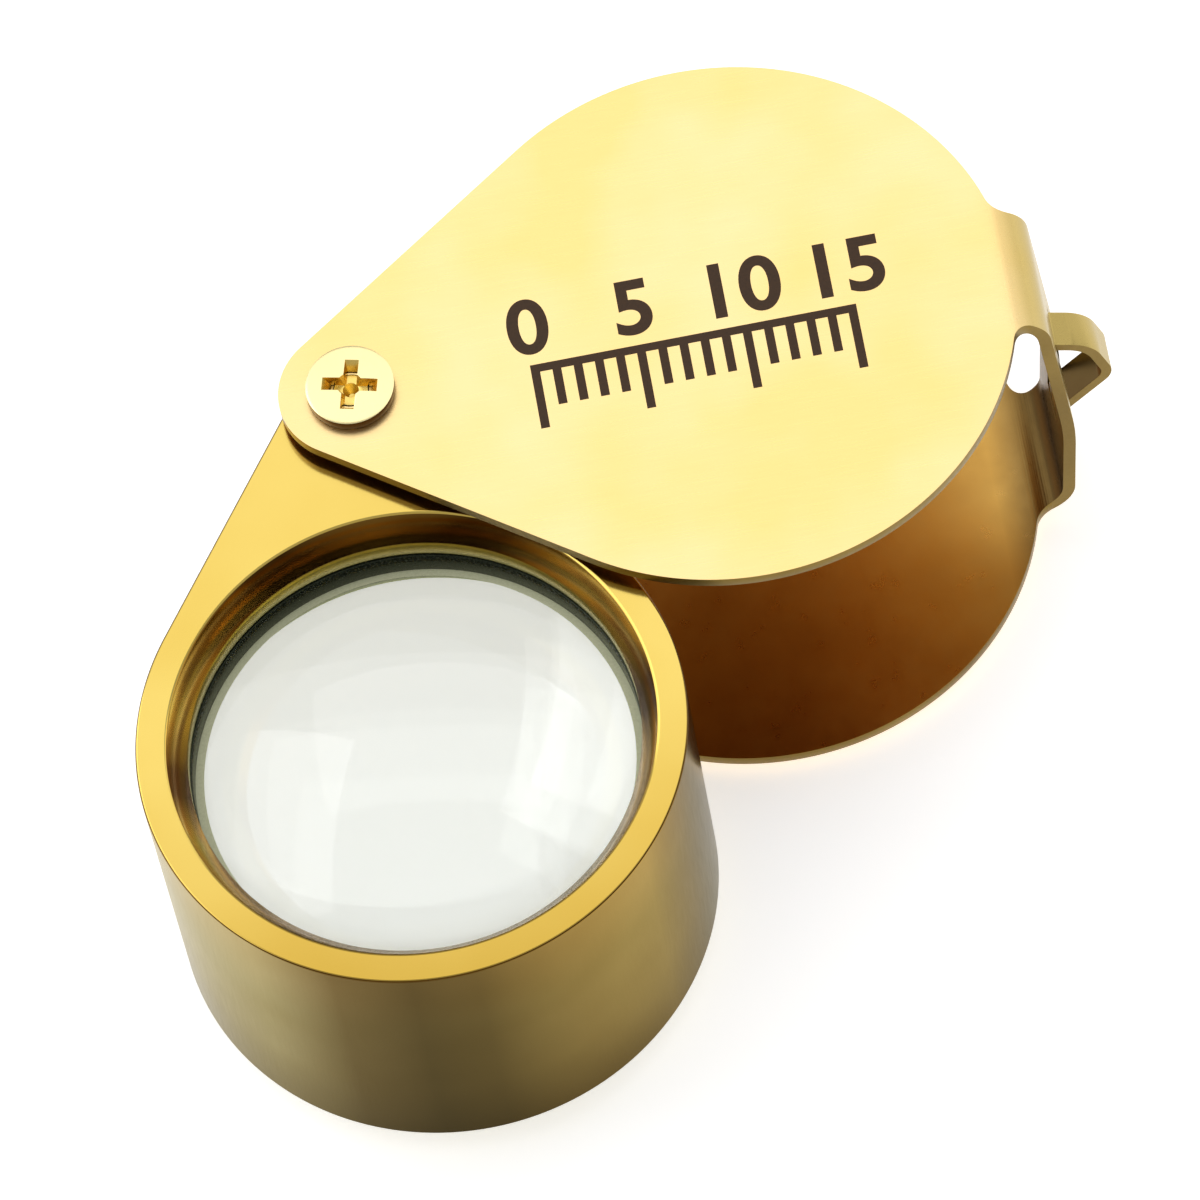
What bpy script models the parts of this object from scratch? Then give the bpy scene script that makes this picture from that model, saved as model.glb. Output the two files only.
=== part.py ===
"""Folding hand lens: a pocket magnifier whose lens housing swings out of a folded sheet-brass case.

Frame: metres, +Z up. The pivot axis is the Z axis. The origin is on that axis, at the outer flat
face of the pivot nut, the lowest face of the object. +X runs from the pivot along the middle of
the case to its bridge and hanging loop. The housing is swung out towards -Y, a quarter turn from
shut. The sizes below are in millimetres, and become metres where a mesh or a curve is made.
"""

import math

import bmesh
import bpy
from mathutils import Matrix

MM = 0.001
SEAT_GAP = 0.05                 # between two pieces that touch on the real object
RUNNING_GAP = 0.05              # radial clearance of the pivot and of the pieces in a bore

# Case: one strip of sheet with a teardrop plate at each end, folded over at the bridge.
PIVOT_TO_CENTRE = 17.55         # pivot axis to the centre of the round end
CASE_ROUND_R = 13.67
CASE_TIP_R = 3.42
CASE_THICKNESS = 18.7           # over the outer faces of both plates
SHEET = 0.6
BRIDGE_HALF_WIDTH = 3.1
BRIDGE_TOP_X = 32.0             # middle of the sheet where the bridge's fold lines meet the plates
BRIDGE_BOTTOM_X = 32.35
BRIDGE_BEND_R = 2.0
BRIDGE_BOW_X = 32.8             # the bridge bows out to here between its folds
BRIDGE_BOW_HEIGHT = 7.5         # above the back plate's outer face
BRIDGE_BOW_R = 20.0
BRIDGE_ROOT_R = 1.0             # hollow corner between a plate's edge and the bridge's edge

# Hanging loop: a strap pierced out of the middle of the bridge and pushed outwards.
LOOP_HALF_WIDTH = 0.9
LOOP_THICKNESS = 0.5
LOOP_FOOT = 4.4                 # heights above the back plate's outer face
LOOP_FOOT_BEND = 5.75
LOOP_TIP = 8.5
LOOP_SHOULDER = 11.2
LOOP_HEAD_BEND = 11.9
LOOP_HEAD = 13.2
LOOP_TIP_REACH = 2.45           # corner of the strap's path, out from the bridge
LOOP_SHOULDER_REACH = 1.6
WINDOW_HALF_WIDTH = 1.05
WINDOW_LOW = 5.1
WINDOW_HIGH = 12.6

# Lens housing: a short barrel with a full-height arm that narrows to the pivot.
BARREL_R = 12.75
ARM_TIP_R = 2.8
HOUSING_CLEARANCE = 0.6         # from each plate's inner face, taken up by a washer
RIM_INNER_R = 11.35
LIP_R = 10.5
LIP_DEPTH = 1.36                # the cone's depth
LIP_LAND = 1.14                 # straight bore behind the cone
BEZEL_EDGE = 0.1                # flat edge of the rear bezel ring's outer face
HOUSING_ANGLE = -90.0           # degrees about the pivot, from shut

# Lens cell and the lens stack. Depths run down from the housing's front face.
CELL_BORE_R = 10.45
SEAT_R = 10.85
LENS_R = 10.75
FRONT_LENS_DEPTH = 4.15
FRONT_LENS_EDGE = 1.6
FRONT_LENS_CURVE = 20.0
MIDDLE_LENS_EDGE = 1.8
MIDDLE_LENS_CURVE = 80.0
REAR_LENS_EDGE = 1.6
REAR_LENS_CURVE = 40.0
SPACER_THICKNESS = 0.9
SPACER_INNER_R = 10.3

# Pivot: a screw from the front into a sleeve nut from the back.
SCREW_HEAD_R = 2.08
SCREW_HEAD_SIDE = 0.4
SCREW_HEAD_HEIGHT = 0.6
SCREW_SHANK_R = 0.8
SCREW_SHANK_LENGTH = 11.0
CROSS_LENGTH = 2.65
CROSS_WIDTH = 0.66
CROSS_DEPTH = 0.6
CROSS_TAPER = 0.7               # size of the recess at its floor, as a part of its size at the top
CROSS_ANGLE = -14.0
DIMPLE_R = 0.6                  # cone in the middle of the cross
DIMPLE_DEPTH = 1.2
NUT_HEAD_R = 2.2
NUT_HEAD_HEIGHT = 0.6
NUT_CHAMFER = 0.2
SLEEVE_R = 1.25
WASHER_R = 2.6
WASHER_THICKNESS = 0.5
SPRING_THICKNESS = 0.25
SPRING_RISE = 0.22

# Heights in the frame.
BACK_FACE = NUT_HEAD_HEIGHT + SEAT_GAP
FRONT_FACE = BACK_FACE + CASE_THICKNESS
HOUSING_LOW = BACK_FACE + SHEET + HOUSING_CLEARANCE
HOUSING_HIGH = FRONT_FACE - SHEET - HOUSING_CLEARANCE
HOUSING_HEIGHT = HOUSING_HIGH - HOUSING_LOW
SLEEVE_TOP = FRONT_FACE - SHEET - SEAT_GAP

# Fineness of the round shapes.
OUTLINE_STEPS = 64
BEND_STEPS = 8
ROOT_STEPS = 5
LOOP_STEPS = 5
BARREL_SEGMENTS = 72
LENS_SEGMENTS = 48
LENS_STEPS = 6
PIVOT_SEGMENTS = 32


# --- outlines ---------------------------------------------------------------------------------

def arc(centre, radius, start, end, steps):
    """Points of an arc between two angles in degrees, both ends included."""
    angles = [math.radians(start + (end - start) * i / steps) for i in range(steps + 1)]
    return [(centre[0] + radius * math.cos(a), centre[1] + radius * math.sin(a)) for a in angles]


def teardrop(round_r, tip_r):
    """A tip around the pivot joined by tangents to a round end, all the way round."""
    slope = math.degrees(math.asin((round_r - tip_r) / PIVOT_TO_CENTRE))
    tangent = 90.0 + slope
    round_end = arc((PIVOT_TO_CENTRE, 0.0), round_r, -tangent, tangent, OUTLINE_STEPS)
    tip = arc((0.0, 0.0), tip_r, tangent, 360.0 - tangent, OUTLINE_STEPS // 4)
    return round_end + tip


def rounded_path(corners, steps):
    """A path through corners (x, z, bend radius), with each inner corner turned into an arc."""
    path = [corners[0][:2]]
    for before, corner, after in zip(corners, corners[1:], corners[2:]):
        x, z, radius = corner
        arriving = math.atan2(z - before[1], x - before[0])
        leaving = math.atan2(after[1] - z, after[0] - x)
        turn = math.remainder(leaving - arriving, math.tau)
        side = math.copysign(1.0, turn)
        setback = radius * math.tan(abs(turn) / 2)
        start = (x - setback * math.cos(arriving), z - setback * math.sin(arriving))
        centre = (start[0] - side * radius * math.sin(arriving),
                  start[1] + side * radius * math.cos(arriving))
        first = math.degrees(arriving) - side * 90.0
        path += arc(centre, radius, first, first + math.degrees(turn), steps)
    return path + [corners[-1][:2]]


def ribbon(path, thickness):
    """The closed outline of a sheet of even thickness whose middle follows a path."""
    left = []
    right = []
    for i, (x, z) in enumerate(path):
        before = path[max(i - 1, 0)]
        after = path[min(i + 1, len(path) - 1)]
        arriving = math.atan2(z - before[1], x - before[0]) if i else None
        leaving = math.atan2(after[1] - z, after[0] - x) if i < len(path) - 1 else arriving
        arriving = leaving if arriving is None else arriving
        half_turn = math.remainder(leaving - arriving, math.tau) / 2
        normal = arriving + half_turn + math.pi / 2
        reach = thickness / 2 / math.cos(half_turn)
        left.append((x + reach * math.cos(normal), z + reach * math.sin(normal)))
        right.append((x - reach * math.cos(normal), z - reach * math.sin(normal)))
    return left + right[::-1]


# --- making solids ----------------------------------------------------------------------------

def new_collection(name):
    group = bpy.data.collections.new(name)
    bpy.context.scene.collection.children.link(group)
    return group


def new_object(name, data, group):
    thing = bpy.data.objects.new(name, data)
    group.objects.link(thing)
    return thing


def as_cutter(thing):
    thing.hide_render = True
    thing.display_type = "WIRE"
    return thing


def extruded(name, outline, low, high, group, upright=False):
    """A flat outline made solid between two heights, or across Y for an upright X-Z outline."""
    curve = bpy.data.curves.new(name, "CURVE")
    curve.dimensions = "2D"
    curve.fill_mode = "BOTH"
    curve.extrude = (high - low) / 2 * MM
    spline = curve.splines.new("POLY")
    spline.points.add(len(outline) - 1)
    for point, (x, y) in zip(spline.points, outline):
        point.co = (x * MM, y * MM, 0.0, 1.0)
    spline.use_cyclic_u = True
    drawn = new_object(name + "_outline", curve, group)
    if upright:
        drawn.rotation_euler.x = math.radians(90.0)
        drawn.location.y = (low + high) / 2 * MM
    else:
        drawn.location.z = (low + high) / 2 * MM
    bpy.context.view_layer.update()
    graph = bpy.context.evaluated_depsgraph_get()
    mesh = bpy.data.meshes.new_from_object(drawn.evaluated_get(graph))
    mesh.name = name
    solid = new_object(name, mesh, group)
    solid.matrix_world = drawn.matrix_world
    bpy.data.objects.remove(drawn)
    form = bmesh.new()
    form.from_mesh(mesh)
    bmesh.ops.remove_doubles(form, verts=form.verts, dist=0.001 * MM)
    bmesh.ops.recalc_face_normals(form, faces=form.faces)
    form.to_mesh(mesh)
    form.free()
    return solid


def turned(name, profile, group, segments, hollow=True):
    """A solid of revolution about Z. The profile (radius, height) runs down its outer side.

    A hollow profile is a closed ring. Otherwise its two ends lie on the axis.
    """
    mesh = bpy.data.meshes.new(name)
    points = [(radius * MM, 0.0, height * MM) for radius, height in profile]
    edges = [(i, i + 1) for i in range(len(points) - 1)]
    if hollow:
        edges.append((len(points) - 1, 0))
    mesh.from_pydata(points, edges, [])
    solid = new_object(name, mesh, group)
    screw = solid.modifiers.new("Turn", "SCREW")
    screw.axis = "Z"
    screw.angle = math.tau
    screw.steps = segments
    screw.render_steps = segments
    screw.use_merge_vertices = True
    screw.merge_threshold = 0.001 * MM
    screw.use_smooth_shade = True
    return solid


def cylinder_cutter(name, radius, low, high, group, segments=PIVOT_SEGMENTS):
    profile = [(0.0, high), (radius, high), (radius, low), (0.0, low)]
    return as_cutter(turned(name, profile, group, segments, hollow=False))


def box_cutter(name, low, high, group):
    mesh = bpy.data.meshes.new(name)
    form = bmesh.new()
    middle = [(a + b) / 2 * MM for a, b in zip(low, high)]
    size = [(b - a) * MM for a, b in zip(low, high)]
    scale = Matrix.Diagonal((*size, 1.0))
    bmesh.ops.create_cube(form, size=1.0, matrix=Matrix.Translation(middle) @ scale)
    form.to_mesh(mesh)
    form.free()
    return as_cutter(new_object(name, mesh, group))


def combine(solid, other, operation):
    step = solid.modifiers.new(operation.title() + " " + other.name, "BOOLEAN")
    step.operation = operation
    step.solver = "EXACT"
    step.object = other


def material(name, colour, metallic, roughness, transmission=0.0):
    made = bpy.data.materials.new(name)
    made.use_nodes = True
    shader = made.node_tree.nodes["Principled BSDF"]
    shader.inputs["Base Color"].default_value = (*colour, 1.0)
    shader.inputs["Metallic"].default_value = metallic
    shader.inputs["Roughness"].default_value = roughness
    shader.inputs["Transmission Weight"].default_value = transmission
    made.diffuse_color = (*colour, 1.0)
    return made


def finish(solid, finish_material, sharp_angle=30.0):
    """Gives a solid its material and smooth round faces."""
    solid.data.materials.clear()
    solid.data.materials.append(finish_material)
    if solid.data.polygons:
        solid.data.shade_smooth()
        solid.data.set_sharp_from_angle(angle=math.radians(sharp_angle))


# --- the case ---------------------------------------------------------------------------------

def bridge_middle(height):
    """X of the middle of the bridge's sheet, which bows out between its two folds."""
    fold_x, fold_height = BRIDGE_BOTTOM_X, SHEET / 2
    if height > BRIDGE_BOW_HEIGHT:
        fold_x, fold_height = BRIDGE_TOP_X, CASE_THICKNESS - SHEET / 2
    along = (height - fold_height) / (BRIDGE_BOW_HEIGHT - fold_height)
    return fold_x + (BRIDGE_BOW_X - fold_x) * along


def case_plan():
    """The case seen from above: the teardrop with the bridge's strip standing out of it."""
    across = BRIDGE_HALF_WIDTH + BRIDGE_ROOT_R
    reach = CASE_ROUND_R + BRIDGE_ROOT_R
    along = math.sqrt(reach ** 2 - across ** 2)
    opening = math.degrees(math.atan2(across, along))
    beyond_bridge = BRIDGE_BOW_X + 2 * SHEET
    corner = arc((PIVOT_TO_CENTRE + along, across), BRIDGE_ROOT_R, 270.0, 180.0 + opening,
                 ROOT_STEPS)
    upper = [(beyond_bridge, BRIDGE_HALF_WIDTH)] + corner
    slope = math.degrees(math.asin((CASE_ROUND_R - CASE_TIP_R) / PIVOT_TO_CENTRE))
    upper += arc((PIVOT_TO_CENTRE, 0.0), CASE_ROUND_R, opening, 90.0 + slope,
                 OUTLINE_STEPS // 2)[1:]
    upper += arc((0.0, 0.0), CASE_TIP_R, 90.0 + slope, 180.0, OUTLINE_STEPS // 8)
    return upper + [(x, -y) for x, y in upper[-2::-1]]


def folding_case(parts, cutters):
    """Two teardrop plates, the bridge that joins them and the loop pushed out of the bridge."""
    back_middle = BACK_FACE + SHEET / 2
    front_middle = FRONT_FACE - SHEET / 2
    behind_tip = -2 * CASE_TIP_R
    fold = rounded_path([(behind_tip, front_middle, 0.0),
                         (BRIDGE_TOP_X, front_middle, BRIDGE_BEND_R),
                         (BRIDGE_BOW_X, BACK_FACE + BRIDGE_BOW_HEIGHT, BRIDGE_BOW_R),
                         (BRIDGE_BOTTOM_X, back_middle, BRIDGE_BEND_R),
                         (behind_tip, back_middle, 0.0)], BEND_STEPS)
    across = CASE_ROUND_R + 1.0
    case = extruded("folding_case", ribbon(fold, SHEET), -across, across, parts, upright=True)

    sheet_edge = as_cutter(extruded("case_edge", case_plan(), -1.0, FRONT_FACE + 1.0, cutters))
    combine(case, sheet_edge, "INTERSECT")

    window = box_cutter("loop_window",
                        (BRIDGE_TOP_X - 1.0, -WINDOW_HALF_WIDTH, BACK_FACE + WINDOW_LOW),
                        (BRIDGE_BOW_X + 1.0, WINDOW_HALF_WIDTH, BACK_FACE + WINDOW_HIGH), cutters)
    combine(case, window, "DIFFERENCE")
    combine(case, loop_strap(cutters), "UNION")

    combine(case, cylinder_cutter("nut_hole", SLEEVE_R + RUNNING_GAP, BACK_FACE - 1.0,
                                  BACK_FACE + SHEET + 0.2, cutters), "DIFFERENCE")
    combine(case, cylinder_cutter("screw_hole", SCREW_SHANK_R + RUNNING_GAP,
                                  FRONT_FACE - SHEET - 0.2, FRONT_FACE + 1.0, cutters), "DIFFERENCE")
    return case


def loop_strap(cutters):
    """The loop's strap, whose two feet run into the bridge above and below the window."""
    middle = bridge_middle(LOOP_TIP)
    corners = [(bridge_middle(LOOP_HEAD), LOOP_HEAD, 0.0),
               (bridge_middle(LOOP_HEAD_BEND), LOOP_HEAD_BEND, 0.5),
               (middle + LOOP_SHOULDER_REACH, LOOP_SHOULDER, 2.0),
               (middle + LOOP_TIP_REACH, LOOP_TIP, 1.1),
               (bridge_middle(LOOP_FOOT_BEND), LOOP_FOOT_BEND, 1.2),
               (bridge_middle(LOOP_FOOT), LOOP_FOOT, 0.0)]
    path = rounded_path([(x, BACK_FACE + z, radius) for x, z, radius in corners], LOOP_STEPS)
    strap = extruded("loop_strap", ribbon(path, LOOP_THICKNESS), -LOOP_HALF_WIDTH, LOOP_HALF_WIDTH,
                     cutters, upright=True)
    return as_cutter(strap)


# --- the lens housing and what is in it -------------------------------------------------------

def depth(below_front):
    """Height in the frame of a depth below the housing's front face."""
    return HOUSING_HIGH - below_front


def lens_housing(parts, cutters):
    """Barrel and arm in one piece, bored from the back up to a conical lip at the front."""
    housing = extruded("lens_housing", teardrop(BARREL_R, ARM_TIP_R), HOUSING_LOW, HOUSING_HIGH,
                       parts)
    over = 0.5
    flare = over * (RIM_INNER_R - LIP_R) / LIP_DEPTH
    bore = [(0.0, depth(-over)), (RIM_INNER_R + flare, depth(-over)), (LIP_R, depth(LIP_DEPTH)),
            (LIP_R, depth(LIP_DEPTH + LIP_LAND)), (RIM_INNER_R, depth(LIP_DEPTH + LIP_LAND)),
            (RIM_INNER_R, HOUSING_LOW - over), (0.0, HOUSING_LOW - over)]
    bore_cutter = as_cutter(turned("barrel_bore", bore, cutters, BARREL_SEGMENTS, hollow=False))
    bore_cutter.location.x = PIVOT_TO_CENTRE * MM
    combine(housing, bore_cutter, "DIFFERENCE")
    pivot_bore = cylinder_cutter("pivot_bore", SLEEVE_R + RUNNING_GAP, HOUSING_LOW - over,
                                 HOUSING_HIGH + over, cutters)
    combine(housing, pivot_bore, "DIFFERENCE")
    return [housing], [bore_cutter, pivot_bore]


def ring(name, outer_r, inner_r, top, thickness, parts, segments=BARREL_SEGMENTS):
    profile = [(outer_r, depth(top)), (outer_r, depth(top + thickness)),
               (inner_r, depth(top + thickness)), (inner_r, depth(top))]
    return turned(name, profile, parts, segments)


def seat(curve_r, inner_r):
    """Gap from a lens's edge to a ring of this inner radius that bears on its curved face."""
    return SEAT_GAP + math.sqrt(curve_r ** 2 - inner_r ** 2) - math.sqrt(curve_r ** 2 - LENS_R ** 2)


def lens_cell(parts):
    """Sleeve that holds the lenses: its front wall is the shoulder they rest against."""
    top = LIP_DEPTH + LIP_LAND + SEAT_GAP
    foot = HOUSING_HEIGHT - LIP_DEPTH - LIP_LAND - SEAT_GAP
    outer = RIM_INNER_R - RUNNING_GAP
    shoulder = FRONT_LENS_DEPTH - seat(FRONT_LENS_CURVE, CELL_BORE_R)
    profile = [(outer, depth(top)), (outer, depth(foot)), (SEAT_R, depth(foot)),
               (SEAT_R, depth(shoulder)), (CELL_BORE_R, depth(shoulder)), (CELL_BORE_R, depth(top))]
    return turned("lens_cell", profile, parts, BARREL_SEGMENTS)


def rear_bezel_ring(parts):
    """Ring that closes the bore at the back, with the same cone as the front lip."""
    outer = RIM_INNER_R - RUNNING_GAP
    land = depth(HOUSING_HEIGHT - LIP_DEPTH)
    top = land + LIP_LAND
    profile = [(outer, top), (outer, HOUSING_LOW), (outer - BEZEL_EDGE, HOUSING_LOW),
               (LIP_R, land), (LIP_R, top)]
    return turned("rear_bezel_ring", profile, parts, BARREL_SEGMENTS)


def dome(curve_r, edge, upwards):
    """From the axis out to a lens's edge, over a spherical surface, or flat with no curve."""
    if curve_r is None:
        return [(0.0, edge), (LENS_R, edge)]
    half_angle = math.asin(LENS_R / curve_r)
    rim_drop = curve_r * math.cos(half_angle)
    points = []
    for i in range(LENS_STEPS + 1):
        angle = half_angle * i / LENS_STEPS
        rise = curve_r * math.cos(angle) - rim_drop
        points.append((curve_r * math.sin(angle), edge + (rise if upwards else -rise)))
    return points


def lens(name, front_curve, rear_curve, top, edge_thickness, parts):
    front = dome(front_curve, depth(top), True)
    rear = dome(rear_curve, depth(top + edge_thickness), False)
    return turned(name, front + rear[::-1], parts, LENS_SEGMENTS, hollow=False)


def lens_stack(parts):
    """Three lenses with a spacer ring between each two, and the ring that locks them in."""
    front_spacer = FRONT_LENS_DEPTH + FRONT_LENS_EDGE + SEAT_GAP
    middle = front_spacer + SPACER_THICKNESS + seat(MIDDLE_LENS_CURVE, SPACER_INNER_R)
    rear_spacer = middle + MIDDLE_LENS_EDGE + seat(MIDDLE_LENS_CURVE, SPACER_INNER_R)
    rear = rear_spacer + SPACER_THICKNESS + SEAT_GAP
    lock = rear + REAR_LENS_EDGE + seat(REAR_LENS_CURVE, CELL_BORE_R)
    lock_length = HOUSING_HEIGHT - LIP_DEPTH - LIP_LAND - 2 * SEAT_GAP - lock
    glass = [lens("front_lens", FRONT_LENS_CURVE, None, FRONT_LENS_DEPTH, FRONT_LENS_EDGE, parts),
             lens("middle_lens", MIDDLE_LENS_CURVE, MIDDLE_LENS_CURVE, middle, MIDDLE_LENS_EDGE,
                  parts),
             lens("rear_lens", None, REAR_LENS_CURVE, rear, REAR_LENS_EDGE, parts)]
    rings = [ring("front_spacer_ring", LENS_R, SPACER_INNER_R, front_spacer, SPACER_THICKNESS, parts),
             ring("rear_spacer_ring", LENS_R, SPACER_INNER_R, rear_spacer, SPACER_THICKNESS, parts),
             ring("lens_lock_ring", SEAT_R - RUNNING_GAP, CELL_BORE_R, lock, lock_length, parts)]
    return glass, rings


# --- the pivot --------------------------------------------------------------------------------

def cross_recess(cutters):
    """Cutters for the screw's cross recess: two tapered bars at right angles and a dimple."""
    top = FRONT_FACE + SEAT_GAP + SCREW_HEAD_HEIGHT
    bars = []
    for i, turn in enumerate((CROSS_ANGLE, CROSS_ANGLE + 90.0)):
        bar = box_cutter(f"recess_bar_{i + 1}", (-CROSS_LENGTH / 2, -CROSS_WIDTH / 2, -CROSS_DEPTH),
                         (CROSS_LENGTH / 2, CROSS_WIDTH / 2, CROSS_DEPTH), cutters)
        for corner in bar.data.vertices:
            if corner.co.z < 0:
                corner.co.x *= CROSS_TAPER
                corner.co.y *= CROSS_TAPER
            else:
                corner.co.x *= 2 - CROSS_TAPER
                corner.co.y *= 2 - CROSS_TAPER
        bar.location.z = top * MM
        bar.rotation_euler.z = math.radians(turn)
        bars.append(bar)
    bars.append(as_cutter(turned("recess_dimple",
                                 [(0.0, top + 0.2), (DIMPLE_R, top + 0.2), (DIMPLE_R, top),
                                  (DIMPLE_R / 4, top - DIMPLE_DEPTH), (0.0, top - DIMPLE_DEPTH)],
                                 cutters, PIVOT_SEGMENTS, hollow=False)))
    return bars


def pivot_screw(parts, cutters):
    """Screw with a low domed head. Its plain shank stands for the thread."""
    under_head = FRONT_FACE + SEAT_GAP
    side = under_head + SCREW_HEAD_SIDE
    crown = SCREW_HEAD_HEIGHT - SCREW_HEAD_SIDE
    tip = under_head - SCREW_SHANK_LENGTH
    shoulder_r = 0.92 * SCREW_HEAD_R
    profile = [(0.0, side + crown), (0.5 * SCREW_HEAD_R, side + 0.85 * crown),
               (shoulder_r, side + 0.35 * crown), (SCREW_HEAD_R, side), (SCREW_HEAD_R, under_head),
               (SCREW_SHANK_R, under_head), (SCREW_SHANK_R, tip + 0.3), (SCREW_SHANK_R - 0.3, tip),
               (0.0, tip)]
    screw = turned("pivot_screw", profile, parts, PIVOT_SEGMENTS, hollow=False)
    for bar in cross_recess(cutters):
        combine(screw, bar, "DIFFERENCE")
    return screw


def pivot_nut(parts):
    """Sleeve nut: a flat head on the back plate and a sleeve that the housing turns on."""
    bore_r = SCREW_SHANK_R + RUNNING_GAP
    bore_floor = FRONT_FACE - SCREW_SHANK_LENGTH - 0.5
    profile = [(SLEEVE_R, SLEEVE_TOP), (SLEEVE_R, NUT_HEAD_HEIGHT), (NUT_HEAD_R, NUT_HEAD_HEIGHT),
               (NUT_HEAD_R, NUT_CHAMFER), (NUT_HEAD_R - NUT_CHAMFER, 0.0), (0.0, 0.0)]
    bore = [(0.0, bore_floor), (bore_r, bore_floor), (bore_r, SLEEVE_TOP)]
    return turned("pivot_nut", bore + profile, parts, PIVOT_SEGMENTS, hollow=False)


def washers(parts):
    """A flat washer above the arm and a coned spring washer below it."""
    hole_r = SLEEVE_R + 2 * RUNNING_GAP
    low = HOUSING_HIGH + SEAT_GAP
    high = low + WASHER_THICKNESS
    flat = [(WASHER_R, high), (WASHER_R, low), (hole_r, low), (hole_r, high)]
    foot = BACK_FACE + SHEET + SEAT_GAP
    cone = [(WASHER_R, foot + SPRING_THICKNESS), (WASHER_R, foot), (hole_r, foot + SPRING_RISE),
            (hole_r, foot + SPRING_RISE + SPRING_THICKNESS)]
    return [turned("friction_washer", flat, parts, PIVOT_SEGMENTS),
            turned("spring_washer", cone, parts, PIVOT_SEGMENTS)]


# --- the whole object -------------------------------------------------------------------------

def swing(pieces, cutters, bore_pieces, parts):
    """Hangs the housing and all that rides with it on an empty on the pivot axis."""
    hinge = new_object("housing_pivot", None, parts)
    for piece in pieces + cutters:
        piece.parent = hinge
    for piece in bore_pieces:
        piece.location.x = PIVOT_TO_CENTRE * MM
    hinge.rotation_euler.z = math.radians(HOUSING_ANGLE)


def build():
    for old in list(bpy.data.objects):
        bpy.data.objects.remove(old)
    parts = new_collection("hand_lens")
    cutters = new_collection("cutters")
    cutters.hide_render = True

    gold_satin = material("satin_gold_brass", (0.83, 0.66, 0.30), 1.0, 0.35)
    gold_bright = material("polished_gold_brass", (0.80, 0.56, 0.18), 1.0, 0.15)
    black = material("black_anodised_aluminium", (0.035, 0.04, 0.035), 0.6, 0.4)
    glass = material("optical_glass", (0.95, 0.98, 0.96), 0.0, 0.02, transmission=1.0)
    spring = material("washer_bronze", (0.62, 0.42, 0.2), 1.0, 0.4)

    case = folding_case(parts, cutters)
    housings, housing_cutters = lens_housing(parts, cutters)
    cell = lens_cell(parts)
    bezel = rear_bezel_ring(parts)
    lenses, rings = lens_stack(parts)
    screw = pivot_screw(parts, cutters)
    nut = pivot_nut(parts)
    thin = washers(parts)

    finish(case, gold_satin)
    for piece in housings + [bezel, screw, nut]:
        finish(piece, gold_bright)
    for piece in rings + [cell]:
        finish(piece, black)
    for piece in lenses:
        finish(piece, glass)
    for piece in thin:
        finish(piece, spring)
    in_barrel = lenses + rings + [cell, bezel]
    swing(housings + in_barrel, housing_cutters, in_barrel, parts)


build()
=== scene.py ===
"""Looks of the folding hand lens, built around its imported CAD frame. Metres, +Z up."""

import math

import bmesh
import bpy
from mathutils import Matrix, Vector


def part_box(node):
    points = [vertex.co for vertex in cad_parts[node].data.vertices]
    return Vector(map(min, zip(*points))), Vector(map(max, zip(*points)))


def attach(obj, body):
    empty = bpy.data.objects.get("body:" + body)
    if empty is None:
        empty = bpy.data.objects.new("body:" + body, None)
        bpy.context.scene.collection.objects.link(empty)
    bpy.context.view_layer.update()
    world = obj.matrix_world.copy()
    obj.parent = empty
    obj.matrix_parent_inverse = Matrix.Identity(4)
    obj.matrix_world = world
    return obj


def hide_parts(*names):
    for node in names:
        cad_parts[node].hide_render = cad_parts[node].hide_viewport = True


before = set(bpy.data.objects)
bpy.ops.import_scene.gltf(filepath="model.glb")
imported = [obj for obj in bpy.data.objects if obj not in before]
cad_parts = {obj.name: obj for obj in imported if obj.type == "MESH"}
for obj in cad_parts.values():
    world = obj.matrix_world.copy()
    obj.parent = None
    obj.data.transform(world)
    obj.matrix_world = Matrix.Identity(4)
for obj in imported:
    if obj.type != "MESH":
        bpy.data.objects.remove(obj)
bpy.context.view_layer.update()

MM = 0.001

# --- places, all read from the frame ----------------------------------------------------------

case_low, case_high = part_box("folding_case")
housing_low, housing_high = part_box("lens_housing")
screw_low, screw_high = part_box("pivot_screw")
nut_low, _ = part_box("pivot_nut")
front_lens_low, front_lens_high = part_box("front_lens")
middle_lens_low, middle_lens_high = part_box("middle_lens")
rear_lens_low, rear_lens_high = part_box("rear_lens")
cell_low, cell_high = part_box("lens_cell")
lock_low, lock_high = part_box("lens_lock_ring")
bezel_low, bezel_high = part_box("rear_bezel_ring")

CASE_TIP_R = -case_low.x
CASE_ROUND_R = case_high.y
BARREL_R = housing_high.x
PIVOT_TO_CENTRE = -housing_low.y - BARREL_R
PIVOT = Vector((0.0, 0.0, 0.0))
BARREL = Vector((0.0, -PIVOT_TO_CENTRE, 0.0))
ARM_TIP_R = housing_high.y
FRONT = case_high.z
BACK = case_low.z
FLOOR_Z = nut_low.z

# --- sizes that the frame's boxes don't give ---------------------------------------------------

SEAT_GAP = 0.05 * MM            # between pieces that touch on the real object
SHEET = 0.6 * MM
BRIDGE_HALF_WIDTH = 3.1 * MM
BRIDGE_TOP_X = 32.0 * MM
BRIDGE_BOTTOM_X = 32.35 * MM
BRIDGE_BEND_R = 2.0 * MM
BRIDGE_BOW_X = 32.8 * MM
BRIDGE_BOW_Z = BACK + 7.5 * MM
BRIDGE_BOW_R = 20.0 * MM
BRIDGE_ROOT_R = 1.0 * MM
LOOP_HALF_WIDTH = 0.9 * MM
LOOP_THICKNESS = 0.5 * MM
LOOP_FOOT = 4.4 * MM            # heights above the back plate's outer face
LOOP_FOOT_BEND = 5.75 * MM
LOOP_TIP = 8.5 * MM
LOOP_SHOULDER = 11.2 * MM
LOOP_HEAD_BEND = 11.9 * MM
LOOP_HEAD = 13.2 * MM
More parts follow.
